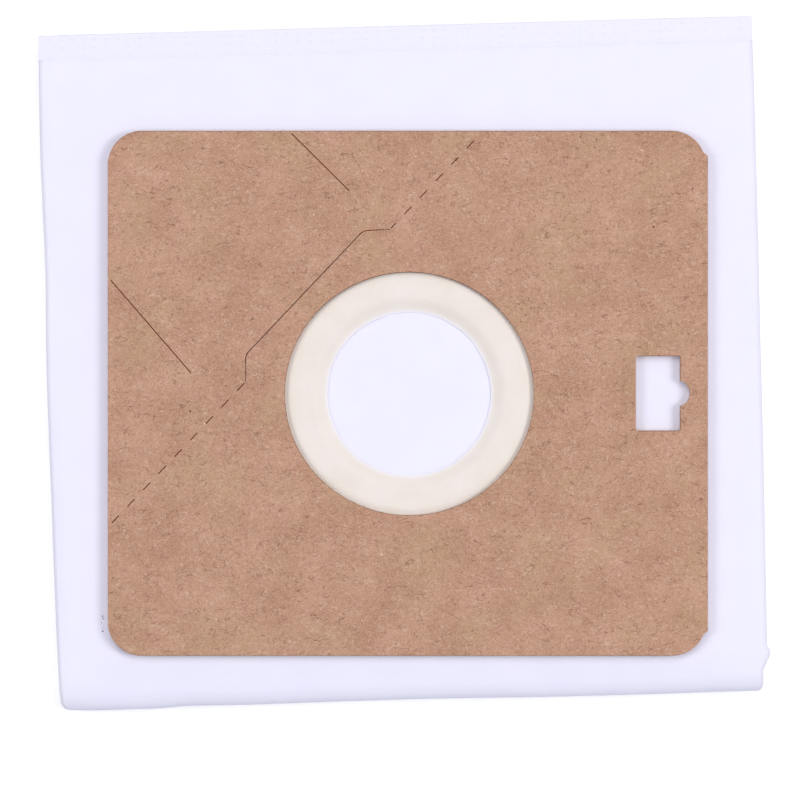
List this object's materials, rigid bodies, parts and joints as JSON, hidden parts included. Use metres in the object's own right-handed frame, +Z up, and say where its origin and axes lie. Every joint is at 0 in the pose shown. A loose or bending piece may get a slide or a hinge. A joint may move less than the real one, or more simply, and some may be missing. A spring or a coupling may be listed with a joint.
{
  "type": "vacuum cleaner dust bag",
  "caption": "Folded non-woven vacuum dust bag with a kraft board collar, a round rubber inlet seal and a perforated closing flap.",
  "frame": {"origin": "bottom centre of the bounding box, on the surface that the folded bag lies on", "axes": "+Z up out of the collar's face, the short way through the folded bag; +X across the bag, towards the location window; +Y from the bag's fold to its welded ends"},
  "size_m": [0.1472, 0.1392, 0.0104],
  "materials": {
    "kraft_board": "matt brown kraft board with short fibres",
    "seal_rubber": "soft cream rubber, slightly shiny",
    "non_woven": "matt bluish white non-woven filter fabric"
  },
  "bodies": {
    "root": {"front_board": "kraft_board", "back_board": "kraft_board", "inlet_seal": "seal_rubber", "filter_bag": "non_woven"}
  },
  "joints": []
}
